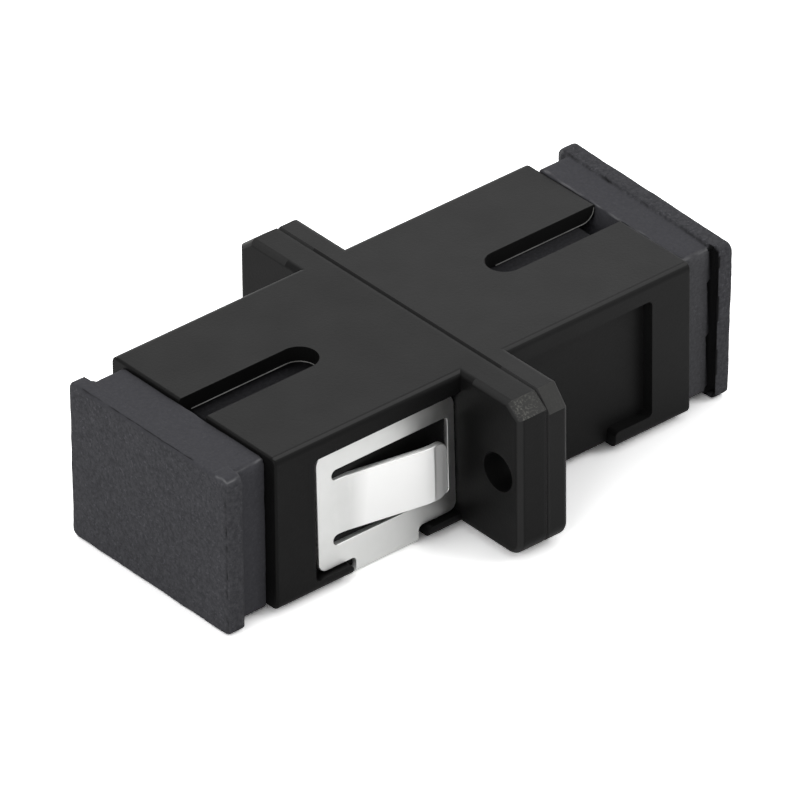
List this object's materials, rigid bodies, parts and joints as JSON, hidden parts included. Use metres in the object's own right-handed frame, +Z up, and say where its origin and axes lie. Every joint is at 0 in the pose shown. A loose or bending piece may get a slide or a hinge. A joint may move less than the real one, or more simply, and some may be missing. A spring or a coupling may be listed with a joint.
{
  "type": "fibre optic adapter",
  "caption": "Flanged panel adapter for push-pull fibre connectors, with keyed rectangular sockets, a folded steel spring clip and soft pull-out dust caps.",
  "frame": {"origin": "on the plane the closed adapter rests on, under the middle of the flange and of the optical axis", "axes": "+X along the optical axis towards the end without the spring clip, +Y across the flange, +Z up through the key slots"},
  "size_m": [0.034, 0.0222, 0.0099],
  "materials": {
    "housing_plastic": "black glass-filled PBT, fine satin moulding texture",
    "holder_plastic": "dark moulded engineering plastic, smooth",
    "zirconia": "polished white zirconia ceramic",
    "spring_steel": "bright rolled stainless spring strip",
    "cap_elastomer": "dark grey thermoplastic elastomer, dry grainy matte"
  },
  "bodies": {
    "adapter": {"left_housing": "housing_plastic", "right_housing": "housing_plastic", "left_sleeve_holder": "holder_plastic", "right_sleeve_holder": "holder_plastic", "split_sleeve": "zirconia", "spring_clip": "spring_steel"},
    "left_cap": {"left_dust_cap": "cap_elastomer"},
    "right_cap": {"right_dust_cap": "cap_elastomer"}
  },
  "joints": [
    {"name": "left_cap_pull", "type": "slide", "parent": "adapter", "child": "left_cap", "axis": [-1, 0, 0], "range_m": [0, 0.03]},
    {"name": "right_cap_pull", "type": "slide", "parent": "adapter", "child": "right_cap", "axis": [1, 0, 0], "range_m": [0, 0.03]}
  ]
}
